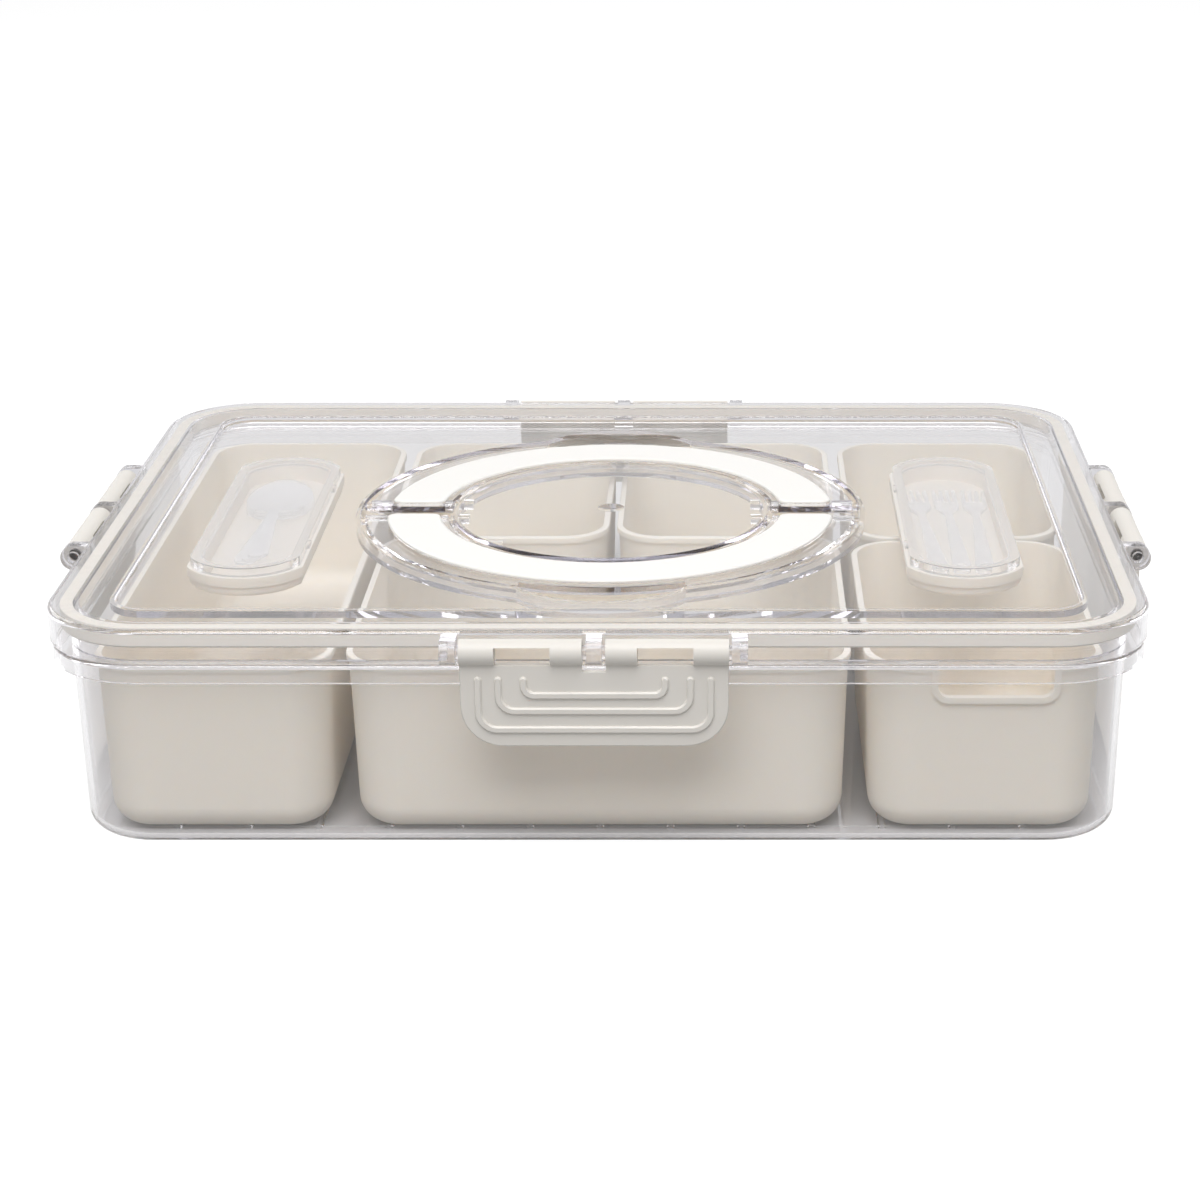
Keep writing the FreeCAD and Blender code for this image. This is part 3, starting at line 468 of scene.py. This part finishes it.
@dataclass
class Studio:
    """Pale floor, white surround, soft lamps and the camera."""

    floor_half: float = 6.0
    floor_colour: Colour = (0.78, 0.78, 0.785)
    # Painted shade: the floor takes this darker colour where ambient occlusion finds the box close by, under and beside
    # the tub.
    painted_shade_colour: Colour = (0.6, 0.595, 0.595)
    bounce_colour: Colour = (0.4, 0.4, 0.4)
    painted_shade_reach: float = 0.03
    floor_glow: float = 1.26
    shadow_share: float = 0.3
    surround: float = 0.28
    surround_through: float = 0.8
    bounces: int = 28
    diffuse_bounces: int = 8
    image_width: float = 1200.0
    focal_pixels: float = 2707.0
    centre_pixel: float = 722.7
    sensor: float = 36.0
    pitch: float = 19.705
    place: tuple[float, float, float] = (0.0435, -1.0043, 0.4028)

    def build_world(self) -> None:
        """White to the eye, a little less in gloss and through plastic, and softer as light.

        A refracted ray counts as a glossy one too.
        """
        world = bpy.data.worlds.new("surround")
        world.use_nodes = True
        tree = world.node_tree
        tree.nodes.clear()
        path = tree.nodes.new("ShaderNodeLightPath")
        sharp = tree.nodes.new("ShaderNodeMath")
        sharp.operation = "MULTIPLY"
        sharp.inputs[1].default_value = self.surround_through
        tree.links.new(path.outputs["Is Glossy Ray"], sharp.inputs[0])
        seen = tree.nodes.new("ShaderNodeMath")
        seen.operation = "MAXIMUM"
        tree.links.new(path.outputs["Is Camera Ray"], seen.inputs[0])
        tree.links.new(sharp.outputs[0], seen.inputs[1])
        level = tree.nodes.new("ShaderNodeMath")
        level.operation = "MAXIMUM"
        level.inputs[1].default_value = self.surround
        tree.links.new(seen.outputs[0], level.inputs[0])
        background = tree.nodes.new("ShaderNodeBackground")
        background.inputs["Color"].default_value = (1.0, 1.0, 1.0, 1.0)
        tree.links.new(level.outputs[0], background.inputs["Strength"])
        out = tree.nodes.new("ShaderNodeOutputWorld")
        tree.links.new(background.outputs[0], out.inputs["Surface"])
        bpy.context.scene.world = world

    def floor_finish(self) -> bpy.types.Material:
        """A matt floor that shows white with a weak shadow to the eye, and a fuller one through plastic, with painted
        shade from ambient occlusion under and beside the tub.
        """
        shader = Shader("floor_white")
        matt = shader.node("BsdfDiffuse")
        # Painted shade: ambient occlusion within the set reach darkens the floor colour under and beside the tub.
        painted_shade = shader.node("AmbientOcclusion", samples=8)
        painted_shade.inputs["Distance"].default_value = self.painted_shade_reach
        tone = shader.node("Mix", data_type="RGBA")
        tone.inputs[6].default_value = (*self.painted_shade_colour, 1.0)
        tone.inputs[7].default_value = (*self.floor_colour, 1.0)
        shader.link(painted_shade.outputs["AO"], tone.inputs[0])
        calm = shader.node("Mix", data_type="RGBA")
        calm.inputs[7].default_value = (*self.bounce_colour, 1.0)
        shader.link(tone.outputs[2], calm.inputs[6])
        shader.link(calm.outputs[2], matt.inputs["Color"])
        glow = shader.node("Emission")
        glow.inputs["Strength"].default_value = self.floor_glow
        path = shader.node("LightPath")
        shader.link(path.outputs["Is Diffuse Ray"], calm.inputs[0])
        mirrored = shader.node("Math", operation="SUBTRACT", use_clamp=True)
        shader.link(path.outputs["Is Glossy Ray"], mirrored.inputs[0])
        shader.link(path.outputs["Is Transmission Ray"], mirrored.inputs[1])
        open_view = shader.node("Math", operation="MAXIMUM")
        shader.link(path.outputs["Is Camera Ray"], open_view.inputs[0])
        shader.link(mirrored.outputs[0], open_view.inputs[1])
        share = shader.node("Math", operation="MULTIPLY")
        share.inputs[1].default_value = 1.0 - self.shadow_share
        shader.link(open_view.outputs[0], share.inputs[0])
        mix = shader.node("MixShader")
        shader.link(share.outputs[0], mix.inputs[0])
        shader.link(matt.outputs[0], mix.inputs[1])
        shader.link(glow.outputs[0], mix.inputs[2])
        shader.link(mix.outputs[0], shader.output.inputs["Surface"])
        return shader.material

    def build_floor(self) -> None:
        """A large flat floor under the box."""
        half = self.floor_half
        corners = [(-half, -half, 0.0), (half, -half, 0.0), (half, half, 0.0), (-half, half, 0.0)]
        mesh = bpy.data.meshes.new("floor")
        mesh.from_pydata(corners, [], [(0, 1, 2, 3)])
        floor = bpy.data.objects.new("floor", mesh)
        bpy.context.scene.collection.objects.link(floor)
        floor.data.materials.append(self.floor_finish())
        floor.location.z = -0.0002

    def lamp(self, name: str, place: Vector, target: Vector, size: float, power: float) -> None:
        """Add a square soft lamp.

        Args:
            name: the lamp's name.
            place: where it hangs.
            target: what it points at.
            size: the length of its side in metres.
            power: its power in watts.
        """
        data = bpy.data.lights.new(name, "AREA")
        data.size = size
        data.energy = power
        made = bpy.data.objects.new(name, data)
        bpy.context.scene.collection.objects.link(made)
        made.location = place
        made.rotation_euler = (target - place).to_track_quat("-Z", "Y").to_euler()

    def build_camera(self) -> None:
        """The photograph's view: long lens, pitched down, with the frame shifted sideways."""
        data = bpy.data.cameras.new("camera")
        data.sensor_width = self.sensor
        data.lens = self.focal_pixels / self.image_width * self.sensor
        data.shift_x = -(self.centre_pixel - self.image_width / 2) / self.image_width
        data.clip_start = 0.01
        camera = bpy.data.objects.new("camera", data)
        bpy.context.scene.collection.objects.link(camera)
        camera.location = self.place
        camera.rotation_euler = (math.radians(90.0 - self.pitch), 0.0, 0.0)
        bpy.context.scene.camera = camera

    def set_bounces(self) -> None:
        """Let light pass the many clear layers of the closed box."""
        cycles = bpy.context.scene.cycles
        cycles.max_bounces = self.bounces
        cycles.transmission_bounces = self.bounces
        cycles.glossy_bounces = self.bounces
        cycles.transparent_max_bounces = self.bounces
        cycles.diffuse_bounces = self.diffuse_bounces

    def build(self) -> None:
        """Make the whole studio."""
        self.set_bounces()
        self.build_world()
        self.build_floor()
        middle = Vector((0.0, 0.0, 0.05))
        self.lamp("key", Vector((-0.5, -1.3, 1.6)), middle, 1.2, 8.0)
        self.lamp("top", Vector((0.05, -1.0, 2.0)), middle, 1.6, 40.0)
        for side in (-1, 1):
            self.lamp(f"rim {side}", Vector((1.3 * side, 1.1, 0.9)), middle, 0.9, 7.0)
        self.build_camera()
        bpy.context.scene.view_settings.view_transform = "Standard"


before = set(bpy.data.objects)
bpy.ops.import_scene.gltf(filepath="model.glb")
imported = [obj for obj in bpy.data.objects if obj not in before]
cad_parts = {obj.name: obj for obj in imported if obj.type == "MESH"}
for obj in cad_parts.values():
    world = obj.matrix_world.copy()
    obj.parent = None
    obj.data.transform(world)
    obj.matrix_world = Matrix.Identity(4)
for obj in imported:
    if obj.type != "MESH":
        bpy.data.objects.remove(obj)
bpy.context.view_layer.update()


def main() -> None:
    """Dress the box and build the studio."""
    logging.basicConfig(level=logging.INFO, format="%(message)s")
    dresser = Dresser()
    for part in (TubSet(), LidSet(), LatchSet(), CarryingRing(), CutlerySet()):
        part.build(dresser)
        LOG.info("%s done", type(part).__name__)
    Studio().build()


if __name__ == "__main__":
    main()
